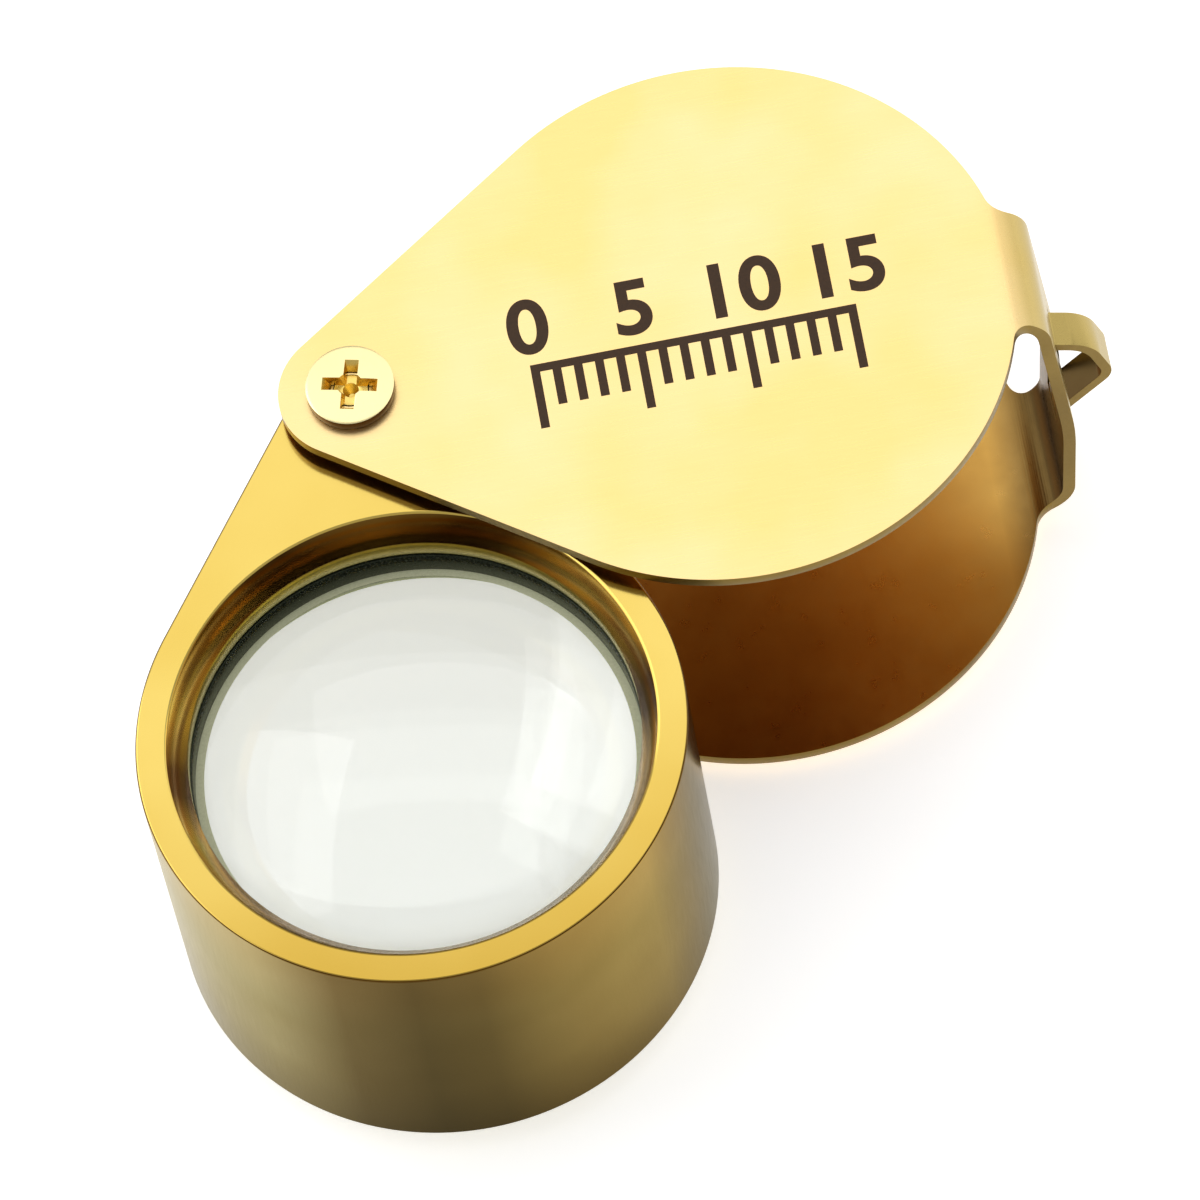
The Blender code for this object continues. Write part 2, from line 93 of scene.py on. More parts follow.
LOOP_TIP_REACH = 2.45 * MM      # out from the middle of the bridge
LOOP_SHOULDER_REACH = 1.6 * MM
LOOP_FOOT_BEND_R = 1.2 * MM
LOOP_TIP_BEND_R = 1.1 * MM
LOOP_SHOULDER_BEND_R = 2.0 * MM
LOOP_HEAD_BEND_R = 0.5 * MM
WINDOW_HALF_WIDTH = 1.05 * MM
WINDOW_LOW = BACK + 5.1 * MM
WINDOW_HIGH = BACK + 12.6 * MM
RIM_INNER_R = 11.35 * MM
LIP_R = 10.5 * MM
LIP_DEPTH = 1.36 * MM           # the cone's depth
LIP_LAND = 1.14 * MM            # straight bore behind the cone
BEZEL_EDGE = 0.1 * MM           # flat edge of the rear bezel ring's outer face
CELL_BORE_R = 10.45 * MM
CELL_SHOULDER_RISE = 0.24 * MM  # from the front lens's edge up to the cell's shoulder
SEAT_R = 10.85 * MM
LENS_R = 10.75 * MM
GROUND_BAND = 0.65 * MM         # width of the ground edge that shows on a lens's face
FRONT_CURVE = 20.0 * MM         # radii of the lenses' curved faces
MIDDLE_CURVE = 80.0 * MM
REAR_CURVE = 40.0 * MM
SLEEVE_HOLE_R = 1.3 * MM
SCREW_HOLE_R = 0.85 * MM
SCREW_HEAD_R = 2.08 * MM
SCREW_HEAD_SIDE = 0.5 * MM      # height of the head's straight side, below its crown
CROSS_LENGTH = 2.65 * MM
CROSS_WIDTH = 0.66 * MM
CROSS_DEPTH = 0.6 * MM
CROSS_TAPER = 0.7               # size of the recess at its floor, as a part of its size at the top
CROSS_ANGLE = math.radians(-14.0)
DIMPLE_R = 0.6 * MM             # cone in the middle of the cross
DIMPLE_DEPTH = 1.2 * MM

# widths of the rounded edges, and the angle between faces from which an edge counts as sharp
SHEET_EDGE = 0.12 * MM
HOUSING_EDGE = 0.14 * MM
BEZEL_RING_EDGE = 0.04 * MM
RING_EDGE = 0.05 * MM
SCREW_EDGE = 0.05 * MM
SHARP_ANGLE = math.radians(35.0)

MARK_RISE = 0.008 * MM          # how far the marks stand above the plate
SCALE_START = 8.6 * MM
SCALE_LENGTH = 15               # millimetres
SCALE_LINE_Y = -0.9 * MM
SCALE_STROKE = 0.42 * MM
SCALE_LONG_MARK = 3.0 * MM
SCALE_SHORT_MARK = 1.9 * MM
NUMERAL_RISE = 1.1 * MM         # from the scale's line up to the numerals
NUMERAL_HEIGHT = 2.9 * MM
CAP_HEIGHT = 0.72               # of the font's numerals, as a part of its size
NUMERAL_WEIGHT = 0.03           # thickening of the numerals, as a part of their height

# the floor's half width, and its glow, which stands for the photo's white background, with a
# painted pool of light under the lens
FLOOR_REACH = 1.5
FLOOR_GLOW = 0.54
FLOOR_PAINTED_LIGHT_UNDER_LENS = 0.68

# --- camera: fitted to the outlines in the photo ----------------------------------------------

EYE = Vector((13.535, -236.34, 430.84)) * MM + Vector((0.0, 0.0, BACK))
FOCAL_PER_WIDTH = 8.515833
TURN = (2.6362, -0.2455, -0.0739)       # rotation vector, radians


# --- outlines ---------------------------------------------------------------------------------

def arc(centre, radius, start, end, steps):
    """Points of an arc between two angles in radians, both ends included."""
    angles = [start + (end - start) * i / steps for i in range(steps + 1)]
    return [(centre[0] + radius * math.cos(a), centre[1] + radius * math.sin(a)) for a in angles]


def teardrop(round_r, tip_r):
    """A tip around the origin joined by tangents to a round end, all the way round."""
    steps = 192
    tangent = math.pi / 2 + math.asin((round_r - tip_r) / PIVOT_TO_CENTRE)
    round_end = arc((PIVOT_TO_CENTRE, 0.0), round_r, -tangent, tangent, steps)
    return round_end + arc((0.0, 0.0), tip_r, tangent, math.tau - tangent, steps // 4)


def rounded_path(corners, steps):
    """A path through corners (x, z, bend radius), with each inner corner turned into an arc."""
    path = [corners[0][:2]]
    for before, corner, after in zip(corners, corners[1:], corners[2:]):
        x, z, radius = corner
        arriving = math.atan2(z - before[1], x - before[0])
        leaving = math.atan2(after[1] - z, after[0] - x)
        turn = math.remainder(leaving - arriving, math.tau)
        side = math.copysign(1.0, turn)
        setback = radius * math.tan(abs(turn) / 2)
        start = (x - setback * math.cos(arriving), z - setback * math.sin(arriving))
        centre = (start[0] - side * radius * math.sin(arriving),
                  start[1] + side * radius * math.cos(arriving))
        first = arriving - side * math.pi / 2
        path += arc(centre, radius, first, first + turn, steps)
    return path + [corners[-1][:2]]


def ribbon(path, thickness):
    """The closed outline of a sheet of even thickness whose middle follows a path."""
    left = []
    right = []
    for i, (x, z) in enumerate(path):
        before = path[max(i - 1, 0)]
        after = path[min(i + 1, len(path) - 1)]
        arriving = math.atan2(z - before[1], x - before[0]) if i else None
        leaving = math.atan2(after[1] - z, after[0] - x) if i < len(path) - 1 else arriving
        arriving = leaving if arriving is None else arriving
        half_turn = math.remainder(leaving - arriving, math.tau) / 2
        normal = arriving + half_turn + math.pi / 2
        reach = thickness / 2 / math.cos(half_turn)
        left.append((x + reach * math.cos(normal), z + reach * math.sin(normal)))
        right.append((x - reach * math.cos(normal), z - reach * math.sin(normal)))
    return left + right[::-1]


# --- making pieces ----------------------------------------------------------------------------

def new_piece(name, mesh):
    piece = bpy.data.objects.new(name, mesh)
    bpy.context.scene.collection.objects.link(piece)
    return piece


def prism(name, outline, low, high, upright=False):
    """A flat outline made solid between two heights, or across Y for an upright X-Z outline."""
    form = bmesh.new()
    if upright:
        ring = [form.verts.new((x, low, z)) for x, z in outline]
        along = Vector((0.0, high - low, 0.0))
    else:
        ring = [form.verts.new((x, y, low)) for x, y in outline]
        along = Vector((0.0, 0.0, high - low))
    cap = form.faces.new(ring)
    grown = bmesh.ops.extrude_face_region(form, geom=[cap])
    lifted = [g for g in grown["geom"] if isinstance(g, bmesh.types.BMVert)]
    bmesh.ops.translate(form, verts=lifted, vec=along)
    bmesh.ops.recalc_face_normals(form, faces=form.faces)
    mesh = bpy.data.meshes.new(name)
    form.to_mesh(mesh)
    form.free()
    return new_piece(name, mesh)


def turned(name, profile, centre, segments=192, closed=True):
    """A solid of revolution about a vertical axis. The profile holds (radius, height) points.

    A closed profile is a ring's section. An open one starts and ends on the axis.
    """
    form = bmesh.new()
    rings = []
    for radius, height in profile:
        if radius < 1e-7:
            rings.append([form.verts.new((centre.x, centre.y, height))])
            continue
        rings.append([form.verts.new((centre.x + radius * math.cos(math.tau * i / segments),
                                      centre.y + radius * math.sin(math.tau * i / segments),
                                      height)) for i in range(segments)])
    pairs = list(zip(rings, rings[1:]))
    if closed:
        pairs.append((rings[-1], rings[0]))
    for upper, lower in pairs:
        for i in range(segments):
            j = (i + 1) % segments
            corners = [upper[i % len(upper)], upper[j % len(upper)],
                       lower[j % len(lower)], lower[i % len(lower)]]
            corners = list(dict.fromkeys(corners))
            if len(corners) > 2:
                form.faces.new(corners)
    bmesh.ops.recalc_face_normals(form, faces=form.faces)
    mesh = bpy.data.meshes.new(name)
    form.to_mesh(mesh)
    form.free()
    return new_piece(name, mesh)


def cut(piece, cutter, operation="DIFFERENCE"):
    """Applies one Boolean and removes the piece that it used."""
    step = piece.modifiers.new("cut", "BOOLEAN")
    step.operation = operation
    step.solver = "EXACT"
    step.object = cutter
    settle(piece)
    bpy.data.objects.remove(cutter)


def settle(piece):
    """Turns the piece's modifiers into mesh."""
    bpy.context.view_layer.update()
    graph = bpy.context.evaluated_depsgraph_get()
    mesh = bpy.data.meshes.new_from_object(piece.evaluated_get(graph))
    piece.modifiers.clear()
    piece.data = mesh


def soften(piece, width, segments=3):
    """Rounds the piece's sharp edges, and shades it smooth with its flat faces kept flat."""
    dissolve_flat(piece)
    edge = piece.modifiers.new("soft edges", "BEVEL")
    edge.width = width
    edge.segments = segments
    edge.limit_method = "ANGLE"
    edge.angle_limit = SHARP_ANGLE
    edge.use_clamp_overlap = True
    edge.miter_outer = "MITER_ARC"
    settle(piece)
    smooth(piece)


def smooth(piece):
    """Shades the piece smooth, with normals that follow its large faces."""
    piece.data.shade_smooth()
    weighted = piece.modifiers.new("flat faces", "WEIGHTED_NORMAL")
    weighted.mode = "FACE_AREA"
    weighted.weight = 100
    weighted.keep_sharp = False
    settle(piece)


def dissolve_flat(piece):
    """Joins the slivers that a Boolean leaves on flat faces."""
    form = bmesh.new()
    form.from_mesh(piece.data)
    bmesh.ops.remove_doubles(form, verts=form.verts, dist=0.002 * MM)
    bmesh.ops.dissolve_limit(form, angle_limit=math.radians(0.2), verts=form.verts,
                             edges=form.edges)
    form.to_mesh(piece.data)
    form.free()


def dome(curve_r, edge_z, upwards):
    """From the axis out to a lens's edge over a spherical or, with no curve, a flat surface."""
    if curve_r is None:
        return [(LENS_R * i / 8, edge_z) for i in range(9)]
    half_angle = math.asin(LENS_R / curve_r)
    sign = 1.0 if upwards else -1.0
    drop = math.cos(half_angle)
    steps = 40
    angles = [half_angle * i / steps for i in range(steps + 1)]
    return [(curve_r * math.sin(a), edge_z + sign * curve_r * (math.cos(a) - drop))
            for a in angles]


def sag(curve_r):
    """How far a lens's curved face stands out at its middle."""
    return curve_r - math.sqrt(curve_r ** 2 - LENS_R ** 2)


# --- materials --------------------------------------------------------------------------------

def shader_of(name):
    made = bpy.data.materials.new(name)
    made.use_nodes = True
    return made, made.node_tree, made.node_tree.nodes["Principled BSDF"]


def ramp(tree, source, stops):
    """A colour ramp over a factor. Each stop is (place, colour or grey)."""
    made = tree.nodes.new("ShaderNodeValToRGB")
    tree.links.new(source, made.inputs["Fac"])
    elements = made.color_ramp.elements
    while len(elements) < len(stops):
        elements.new(0.5)
    for element, (place, colour) in zip(elements, stops):
        element.position = place
        value = colour if isinstance(colour, tuple) else (colour,) * 3
        element.color = (*value, 1.0)
    return made.outputs["Color"]


def stretched(tree, scale):
    """Object coordinates in millimetres, scaled unevenly for brushing and streaks."""
    place = tree.nodes.new("ShaderNodeTexCoord")
    mapping = tree.nodes.new("ShaderNodeMapping")
    mapping.inputs["Scale"].default_value = tuple(s / MM for s in scale)
    tree.links.new(place.outputs["Object"], mapping.inputs["Vector"])
    return mapping.outputs["Vector"]


def noise(tree, vector, detail, roughness=0.55):
    made = tree.nodes.new("ShaderNodeTexNoise")
    made.inputs["Scale"].default_value = 1.0
    made.inputs["Detail"].default_value = detail
    made.inputs["Roughness"].default_value = roughness
    tree.links.new(vector, made.inputs["Vector"])
    return made.outputs["Fac"]


def bump(tree, shader, height, strength, distance):
    made = tree.nodes.new("ShaderNodeBump")
    made.inputs["Strength"].default_value = strength
    made.inputs["Distance"].default_value = distance
    tree.links.new(height, made.inputs["Height"])
    tree.links.new(made.outputs["Normal"], shader.inputs["Normal"])


def gold(name, light, dark, rough_low, rough_high, grain, grain_strength):
    """Gold-plated brass: tone drifts slowly between two colours, over a fine directional grain."""
    made, tree, shader = shader_of(name)
    shader.inputs["Metallic"].default_value = 1.0
    cloud = noise(tree, stretched(tree, (0.12, 0.12, 0.12)), detail=2.0)
    tree.links.new(ramp(tree, cloud, [(0.35, dark), (0.65, light)]), shader.inputs["Base Color"])
    fine = noise(tree, stretched(tree, grain), detail=3.0, roughness=0.6)
    tree.links.new(ramp(tree, fine, [(0.3, rough_low), (0.7, rough_high)]),
                   shader.inputs["Roughness"])
    bump(tree, shader, fine, grain_strength, 0.02 * MM)
    return made


def drift(made, axis, stops):
    """Multiplies a gold's tone along one axis, which paints light and shade on it. Each stop is
    (place, colour), in rising order.
    """
    tree = made.node_tree
    shader = tree.nodes["Principled BSDF"]
    tone = shader.inputs["Base Color"].links[0].from_socket
    place = tree.nodes.new("ShaderNodeTexCoord")
    split = tree.nodes.new("ShaderNodeSeparateXYZ")
    tree.links.new(place.outputs["Object"], split.inputs["Vector"])
    along = tree.nodes.new("ShaderNodeMapRange")
    start, end = stops[0][0], stops[-1][0]
    along.inputs["From Min"].default_value = start
    along.inputs["From Max"].default_value = end
    tree.links.new(split.outputs[axis], along.inputs["Value"])
    factor = ramp(tree, along.outputs["Result"],
                  [((at - start) / (end - start), colour) for at, colour in stops])
    blend = tree.nodes.new("ShaderNodeMix")
    blend.data_type = "RGBA"
    blend.blend_type = "MULTIPLY"
    blend.inputs["Factor"].default_value = 1.0
    tree.links.new(tone, blend.inputs["A"])
    tree.links.new(factor, blend.inputs["B"])
    tree.links.new(blend.outputs["Result"], shader.inputs["Base Color"])


def dark_satin(name, colour, roughness):
    made, tree, shader = shader_of(name)
    shader.inputs["Metallic"].default_value = 0.6
    speck = noise(tree, stretched(tree, (6.0, 6.0, 6.0)), detail=2.0)
    lighter = tuple(1.6 * c for c in colour)
    tree.links.new(ramp(tree, speck, [(0.3, colour), (0.8, lighter)]),
                   shader.inputs["Base Color"])
    tree.links.new(ramp(tree, speck, [(0.3, roughness), (0.8, roughness + 0.15)]),
                   shader.inputs["Roughness"])
    return made


def clear_glass(name):
    made, tree, shader = shader_of(name)
    shader.inputs["Base Color"].default_value = (0.985, 0.995, 0.985, 1.0)
    shader.inputs["Transmission Weight"].default_value = 1.0
    shader.inputs["IOR"].default_value = 1.5
    smear = noise(tree, stretched(tree, (0.25, 0.25, 0.25)), detail=3.0)
    tree.links.new(ramp(tree, smear, [(0.55, 0.0), (0.95, 0.02)]), shader.inputs["Roughness"])
    return made


def ground_glass(name):
    made, tree, shader = shader_of(name)
    shader.inputs["Transmission Weight"].default_value = 0.0
    speck = noise(tree, stretched(tree, (8.0, 8.0, 8.0)), detail=2.0)
    tree.links.new(ramp(tree, speck, [(0.3, (0.66, 0.67, 0.46)), (0.7, (0.78, 0.79, 0.58))]),
                   shader.inputs["Base Color"])
    shader.inputs["Roughness"].default_value = 0.6
    # painted light: the ground edge glows faintly, though it is no lamp
    shader.inputs["Emission Color"].default_value = (0.62, 0.64, 0.40, 1.0)
    shader.inputs["Emission Strength"].default_value = 0.22
    return made


def paint_node(name, made):
    """Gives a node that is carried over from the frame its material."""
    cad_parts[name].data.materials.clear()
    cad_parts[name].data.materials.append(made)


def add_material(piece, made):
    """Adds one more material to a piece, and returns its index for the faces that take it."""
    piece.data.materials.append(made)
    return len(piece.data.materials) - 1


def give(piece, made, body, node_name):
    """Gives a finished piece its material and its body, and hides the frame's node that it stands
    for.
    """
    piece.data.materials.clear()
    piece.data.materials.append(made)
    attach(piece, body)
    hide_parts(node_name)


# tones of the gold, each with the drift that the photo shows along the object; the drifts, and the
# darker golds of the inner side, edges, bore and recess, are painted shade, painted highlights and
# painted reflections
PLATE_GOLD_BEND_SHADE = gold("plate gold with painted bend shade", (0.90, 0.68, 0.33), (0.89, 0.64, 0.24), 0.26, 0.33,
                  (0.5, 16.0, 16.0), 0.03)
# painted shade: the plate gold darkens over the bends and the bridge
drift(PLATE_GOLD_BEND_SHADE, "X", [(30.9 * MM, (1.0, 1.0, 1.0)), (31.7 * MM, (0.62, 0.63, 0.52)),
                        (32.3 * MM, (0.50, 0.51, 0.38))])
# painted shade: the inner side of the fold is a darker, browner copy of the plate gold
INNER_GOLD_PAINTED_SHADE = gold("inner gold painted shade", (0.62, 0.36, 0.10), (0.48, 0.25, 0.06), 0.27, 0.33,
                  (1.2, 1.2, 1.2), 0.015)
# painted shade: the inner side darkens towards the pivot and inside the bends
drift(INNER_GOLD_PAINTED_SHADE, "X", [(14.0 * MM, (0.55, 0.46, 0.30)), (22.0 * MM, (0.75, 0.66, 0.50)),
                        (29.0 * MM, (1.0, 1.05, 0.95)), (30.2 * MM, (0.60, 0.65, 0.70)),
                        (31.3 * MM, (0.20, 0.22, 0.25))])
# painted shade: the sheet's cut edges are a dark brown copy of the gold
CUT_EDGE_PAINTED_SHADE = gold("cut edge", (0.27, 0.18, 0.035), (0.19, 0.12, 0.02), 0.28, 0.40,
                (6.0, 6.0, 6.0), 0.06)
# painted shade: a dark brown gold for the screw head's side and the barrel's upper edge
EDGE_PAINTED_SHADE = gold("dark edge painted shade", (0.13, 0.060, 0.010), (0.10, 0.045, 0.008), 0.25, 0.35,
                 (6.0, 6.0, 6.0), 0.03)
RIM_GOLD_PAINTED_SHADE = gold("rim gold with painted shade", (0.70, 0.52, 0.13), (0.66, 0.47, 0.10), 0.12, 0.15,
                (6.0, 6.0, 0.6), 0.01)
# painted shade: the rim darkens towards its front (-Y) side
drift(RIM_GOLD_PAINTED_SHADE, "Y", [(-31.0 * MM, (0.74, 0.66, 0.45)), (-24.0 * MM, (0.92, 0.88, 0.80)),
                      (-17.0 * MM, (1.0, 1.0, 1.0))])
CONE_GOLD_PAINTED_REFLECTIONS = gold("cone gold with painted reflections", (0.66, 0.46, 0.12), (0.34, 0.20, 0.04), 0.10, 0.13,
                 (3.0, 3.0, 0.6), 0.01)
# painted reflections: dark and light bands across the cone
drift(CONE_GOLD_PAINTED_REFLECTIONS, "Y", [(-28.5 * MM, (0.95, 0.9, 0.8)), (-20.9 * MM, (0.95, 0.9, 0.8)),
                       (-18.3 * MM, (0.18, 0.12, 0.08)), (-17.0 * MM, (0.18, 0.12, 0.08)),
                       (-14.5 * MM, (0.85, 0.80, 0.70)), (-11.5 * MM, (0.85, 0.80, 0.70)),
                       (-9.5 * MM, (0.40, 0.32, 0.24)), (-8.2 * MM, (0.12, 0.08, 0.06)),
                       (-7.2 * MM, (0.12, 0.08, 0.06)), (-6.3 * MM, (0.40, 0.32, 0.24))])
# painted highlight: the cone is lighter towards its left (-X) side
drift(CONE_GOLD_PAINTED_REFLECTIONS, "X", [(-11.3 * MM, (2.2, 2.1, 1.7)), (-8.5 * MM, (1.5, 1.4, 1.2)),
                       (-4.5 * MM, (0.8, 0.75, 0.7)), (2.0 * MM, (1.0, 0.95, 0.8))])
# painted shade: a darker, greener copy of the rim gold for the straight bore
BORE_GOLD_PAINTED_SHADE = gold("bore gold painted shade", (0.46, 0.39, 0.12), (0.38, 0.31, 0.09), 0.18, 0.22,
                 (6.0, 6.0, 0.6), 0.01)
# painted shade: a darker, more orange gold inside the screw's cross recess
RECESS_GOLD_PAINTED_SHADE = gold("recess gold painted shade", (0.84, 0.62, 0.18), (0.76, 0.54, 0.13), 0.22, 0.30,
                   (5.0, 5.0, 5.0), 0.03)
# painted reflection and painted shade: a very dark gold for the barrel's side
SIDE_GOLD_PAINTED_REFLECTION_SHADE = gold("barrel gold painted reflection and shade", (0.115, 0.078, 0.015), (0.095, 0.062, 0.010), 0.20, 0.26,
                 (9.0, 9.0, 0.6), 0.02)
# painted reflections: lighter towards the left and right, darkest in the middle and at the right
# edge
drift(SIDE_GOLD_PAINTED_REFLECTION_SHADE, "X", [(-BARREL_R, (3.8, 4.9, 12.5)), (-9.0 * MM, (3.2, 4.0, 10.0)),
                       (-5.5 * MM, (1.1, 1.1, 1.8)), (-2.0 * MM, (0.58, 0.55, 0.70)),
                       (1.0 * MM, (0.85, 0.83, 1.1)), (6.0 * MM, (2.4, 2.45, 3.4)),
                       (9.5 * MM, (3.6, 3.8, 5.4)), (11.3 * MM, (2.2, 2.2, 3.2)),
                       (BARREL_R, (0.3, 0.3, 0.3))])
# painted shade: darker towards the bottom, lighter at the top
drift(SIDE_GOLD_PAINTED_REFLECTION_SHADE, "Z", [(housing_low.z, (0.38, 0.33, 0.25)),
                       (housing_low.z + 5.0 * MM, (0.8, 0.78, 0.75)),
                       (housing_high.z - 5.0 * MM, (1.0, 1.0, 1.0)),
                       (housing_high.z, (1.25, 1.15, 1.1))])
SIDE_GOLD_PAINTED_REFLECTION_SHADE.node_tree.nodes["Principled BSDF"].inputs["Specular Tint"].default_value = (
    0.78, 0.74, 0.62, 1.0)
SCREW_GOLD = gold("screw gold", (0.92, 0.80, 0.42), (0.88, 0.74, 0.36), 0.16, 0.26,
                  (5.0, 5.0, 5.0), 0.03)
BLACK = dark_satin("black anodised", (0.020, 0.026, 0.014), 0.2)
MARK = dark_satin("etched mark", (0.045, 0.024, 0.012), 0.5)
GLASS = clear_glass("optical glass")
GROUND = ground_glass("ground glass edge painted glow")


# --- the case ---------------------------------------------------------------------------------

def bridge_middle(z):
    """X of the middle of the bridge's sheet, which bows out between its two folds."""
    fold_x, fold_z = BRIDGE_BOTTOM_X, BACK + SHEET / 2
    if z > BRIDGE_BOW_Z:
        fold_x, fold_z = BRIDGE_TOP_X, FRONT - SHEET / 2
    return fold_x + (BRIDGE_BOW_X - fold_x) * (z - fold_z) / (BRIDGE_BOW_Z - fold_z)


def loop_strap():
    """The loop's strap: out of the bridge above the window, round its tip and in again below."""
    middle = bridge_middle(BACK + LOOP_TIP)
    corners = [(bridge_middle(BACK + LOOP_HEAD), LOOP_HEAD, 0.0),
               (bridge_middle(BACK + LOOP_HEAD_BEND), LOOP_HEAD_BEND, LOOP_HEAD_BEND_R),
               (middle + LOOP_SHOULDER_REACH, LOOP_SHOULDER, LOOP_SHOULDER_BEND_R),
               (middle + LOOP_TIP_REACH, LOOP_TIP, LOOP_TIP_BEND_R),
               (bridge_middle(BACK + LOOP_FOOT_BEND), LOOP_FOOT_BEND, LOOP_FOOT_BEND_R),
               (bridge_middle(BACK + LOOP_FOOT), LOOP_FOOT, 0.0)]
    path = rounded_path([(x, BACK + z, radius) for x, z, radius in corners], 14)
    return prism("loop_strap", ribbon(path, LOOP_THICKNESS), -LOOP_HALF_WIDTH, LOOP_HALF_WIDTH,
                 upright=True)


def case_plan():
    """The case seen from above: the teardrop with the bridge's strip standing out of it."""
    across = BRIDGE_HALF_WIDTH + BRIDGE_ROOT_R
    reach = CASE_ROUND_R + BRIDGE_ROOT_R
    along = math.sqrt(reach ** 2 - across ** 2)
    opening = math.atan2(across, along)
    slope = math.asin((CASE_ROUND_R - CASE_TIP_R) / PIVOT_TO_CENTRE)
    upper = [(BRIDGE_BOW_X + 2 * SHEET, BRIDGE_HALF_WIDTH)]
    upper += arc((PIVOT_TO_CENTRE + along, across), BRIDGE_ROOT_R, 1.5 * math.pi,
                 math.pi + opening, 12)
    upper += arc((PIVOT_TO_CENTRE, 0.0), CASE_ROUND_R, opening, math.pi / 2 + slope, 96)[1:]
    upper += arc((0.0, 0.0), CASE_TIP_R, math.pi / 2 + slope, math.pi, 24)
    return upper + [(x, -y) for x, y in upper[-2::-1]]


def case():
    """The folded sheet with its loop. Its inner side and its cut edges are darker, with painted
    shade.
    """
    front_middle = FRONT - SHEET / 2
    back_middle = BACK + SHEET / 2
    behind = -2 * CASE_TIP_R
    fold = rounded_path([(behind, front_middle, 0.0),
                         (BRIDGE_TOP_X, front_middle, BRIDGE_BEND_R),
                         (BRIDGE_BOW_X, BRIDGE_BOW_Z, BRIDGE_BOW_R),
                         (BRIDGE_BOTTOM_X, back_middle, BRIDGE_BEND_R),
                         (behind, back_middle, 0.0)], 20)
    across = CASE_ROUND_R + MM
    piece = prism("case_sheet", ribbon(fold, SHEET), -across, across, upright=True)
    cut(piece, prism("plan", case_plan(), BACK - MM, FRONT + MM), "INTERSECT")
    window = prism("window", [(BRIDGE_TOP_X - MM, -WINDOW_HALF_WIDTH),
                              (BRIDGE_BOW_X + MM, -WINDOW_HALF_WIDTH),
                              (BRIDGE_BOW_X + MM, WINDOW_HALF_WIDTH),
                              (BRIDGE_TOP_X - MM, WINDOW_HALF_WIDTH)], WINDOW_LOW, WINDOW_HIGH)
    cut(piece, window)
    cut(piece, loop_strap(), "UNION")
    for radius, face_z in ((SCREW_HOLE_R, FRONT), (SLEEVE_HOLE_R, BACK)):
        hole = [(0.0, face_z + MM), (radius, face_z + MM), (radius, face_z - MM),
                (0.0, face_z - MM)]
        cut(piece, turned("hole", hole, PIVOT, 48, False))
    soften(piece, SHEET_EDGE)
    give(piece, PLATE_GOLD_BEND_SHADE, "case", "folding_case")
    inner = add_material(piece, INNER_GOLD_PAINTED_SHADE)
    edge = add_material(piece, CUT_EDGE_PAINTED_SHADE)
    # the inner side and the cut edges take golds with painted shade
    for face in piece.data.polygons:
        if faces_inwards(face):
            face.material_index = inner
        elif abs(face.normal.z) < 0.3 and (abs(face.normal.y) > 0.8
                                           or abs(face.center.y) > BRIDGE_HALF_WIDTH
                                           or face.center.x < BRIDGE_TOP_X - BRIDGE_BEND_R):
            face.material_index = edge


def faces_inwards(face):
    """True on the inner side of the folded sheet and of the loop."""
    middle = (FRONT + BACK) / 2
    centre = face.center
    if centre.x > BRIDGE_BOW_X + SHEET / 2:
        inside = (BRIDGE_BOW_X + 1.0 * MM, centre.y, BACK + LOOP_TIP)
        return abs(face.normal.y) < 0.5 and face.normal.dot(centre - Vector(inside)) < 0
    if abs(face.normal.z) > 0.5 and abs(centre.z - middle) < (FRONT - BACK) / 2 - SHEET / 2:
        return (centre.z > middle) == (face.normal.z < 0)
    return face.normal.x < -0.5 and centre.x > BRIDGE_TOP_X - 2 * MM


# --- the housing ------------------------------------------------------------------------------

def housing():
    """The barrel and its arm, with golds of painted reflection and painted shade for the side, the
    bore, the cone and the upper edge.
    """
    outline = [(y, -x) for x, y in teardrop(BARREL_R, ARM_TIP_R)]
    low, high = housing_low.z, housing_high.z
    piece = prism("lens_barrel", outline, low, high)
    over = 0.5 * MM
    flare = over * (RIM_INNER_R - LIP_R) / LIP_DEPTH
    land = high - LIP_DEPTH
    bore = [(0.0, high + over), (RIM_INNER_R + flare, high + over), (LIP_R, land),
            (LIP_R, land - LIP_LAND), (RIM_INNER_R, land - LIP_LAND), (RIM_INNER_R, low - over),
            (0.0, low - over)]
    cut(piece, turned("bore", bore, BARREL, 192, False))
    hole = [(0.0, high + over), (SLEEVE_HOLE_R, high + over), (SLEEVE_HOLE_R, low - over),
            (0.0, low - over)]
    cut(piece, turned("hole", hole, PIVOT, 48, False))
    soften(piece, HOUSING_EDGE)
    give(piece, RIM_GOLD_PAINTED_SHADE, "housing", "lens_housing")
    side = add_material(piece, SIDE_GOLD_PAINTED_REFLECTION_SHADE)
    straight_bore = add_material(piece, BORE_GOLD_PAINTED_SHADE)
    cone = add_material(piece, CONE_GOLD_PAINTED_REFLECTIONS)
    upper_edge = add_material(piece, EDGE_PAINTED_SHADE)
    # the side, the straight bore, the cone and the upper edge take golds with painted reflections
    # and painted shade
    for face in piece.data.polygons:
        from_axis = (face.center - BARREL).xy.length
        outward = from_axis > BARREL_R - 0.5 * MM or face.center.y > -4 * MM
        if abs(face.normal.z) < 0.3 and outward and face.center.xy.length > 2 * MM:
            face.material_index = side
        elif not outward and face.center.z < land:
            face.material_index = straight_bore
        elif from_axis < RIM_INNER_R and face.normal.z < 0.8:
            face.material_index = cone
        elif outward and 0.3 < face.normal.z < 0.75:
            face.material_index = upper_edge


